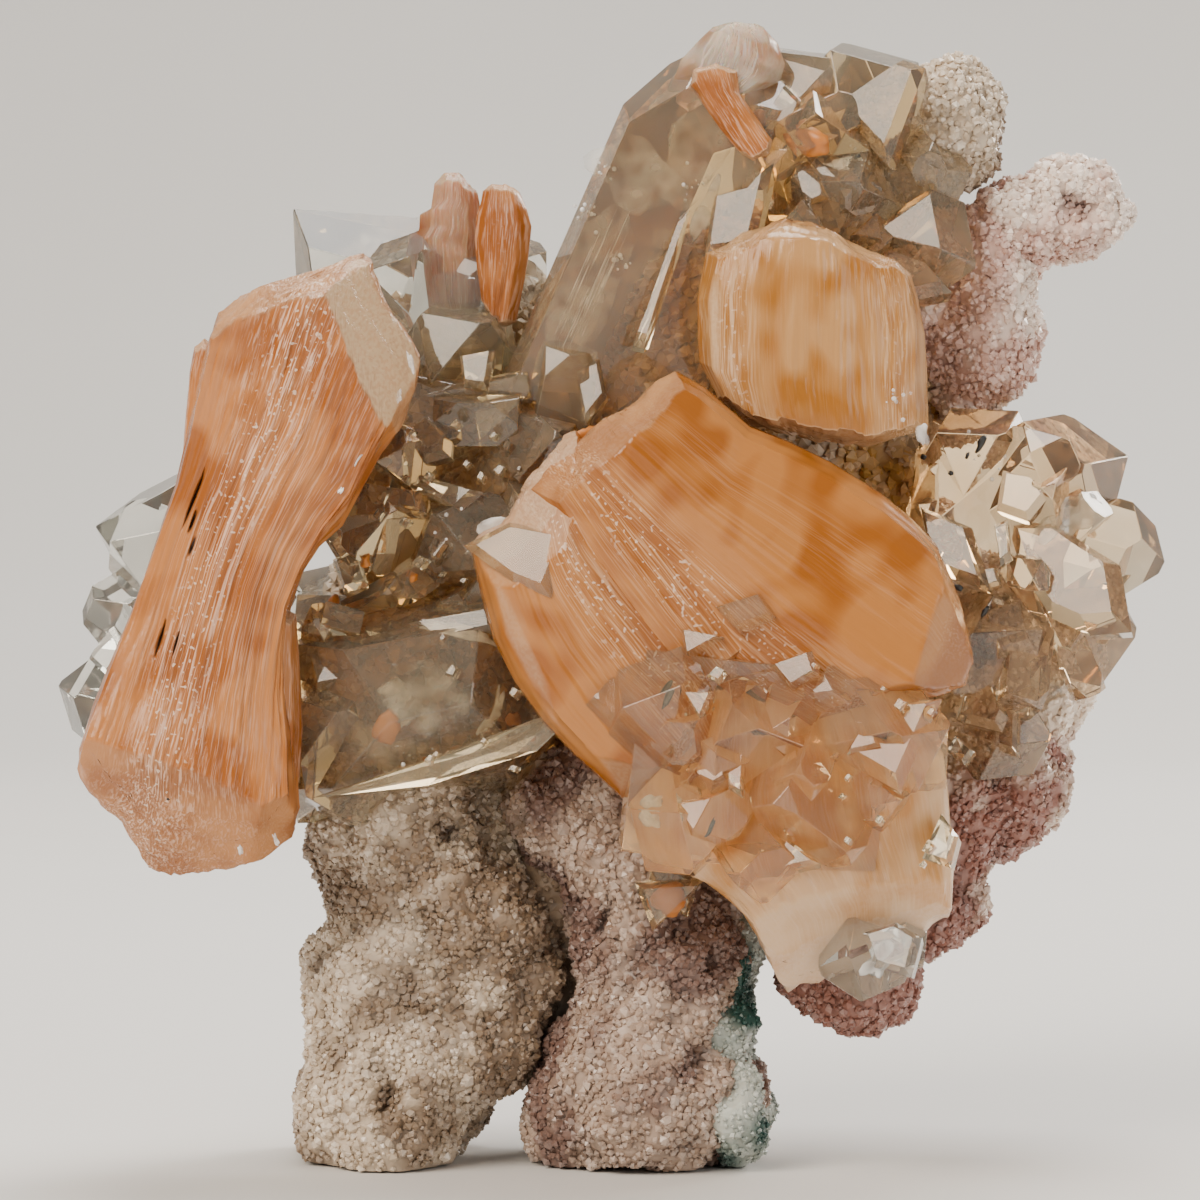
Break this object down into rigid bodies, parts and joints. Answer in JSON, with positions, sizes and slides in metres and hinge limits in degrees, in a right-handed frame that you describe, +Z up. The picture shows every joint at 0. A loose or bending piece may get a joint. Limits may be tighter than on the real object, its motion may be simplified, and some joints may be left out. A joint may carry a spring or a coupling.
{
  "type": "apophyllite cluster",
  "caption": "Standing cluster of pale apophyllite crystals and orange stilbite sheaves on a branching, quartz-coated chalcedony matrix.",
  "frame": {"origin": "under the middle of the bounding box, at the level of the flat-cut feet", "axes": "+Z up as the specimen stands, +X to the right of the display side, -Y towards the viewer"},
  "size_m": [0.1092, 0.0631, 0.1145],
  "materials": {
    "stilbite": "translucent orange, silky, striated along the sheaf",
    "stilbite_pale": "translucent pale peach, silky",
    "apophyllite": "clear to milky pale green-grey, glassy",
    "apophyllite_clear": "clear, glassy, faint veils",
    "apophyllite_amber": "clear amber, glassy, facets bright",
    "druse_cream": "sugary quartz points on chalcedony, cream to grey-pink, with dark hollows",
    "druse_pink": "sugary quartz points on chalcedony, pink to mauve-brown"
  },
  "bodies": {
    "root": {"stilbite_bowtie_left": "stilbite", "stilbite_centre": "stilbite", "stilbite_block_upper": "stilbite", "stilbite_fan_lower_right": "stilbite", "stilbite_sheaf_pale": "stilbite_pale", "stilbite_sheaf_orange": "stilbite", "stilbite_fan_top": "stilbite_pale", "stilbite_bowtie_top": "stilbite", "apophyllite_large": "apophyllite", "apophyllite_cluster_upper_right": "apophyllite", "apophyllite_point_upper_left": "apophyllite_clear", "apophyllite_cluster_left": "apophyllite_clear", "apophyllite_lower_left": "apophyllite", "apophyllite_cluster_centre": "apophyllite", "apophyllite_cluster_right": "apophyllite", "apophyllite_cluster_lower_right": "apophyllite_amber", "apophyllite_cluster_foot": "apophyllite_clear", "apophyllite_small_point": "apophyllite_amber", "matrix_core": "druse_cream", "leg_left": "druse_cream", "leg_centre": "druse_cream", "knob_top_right": "druse_cream", "lobe_right": "druse_pink", "branch_right": "druse_pink"}
  },
  "joints": []
}
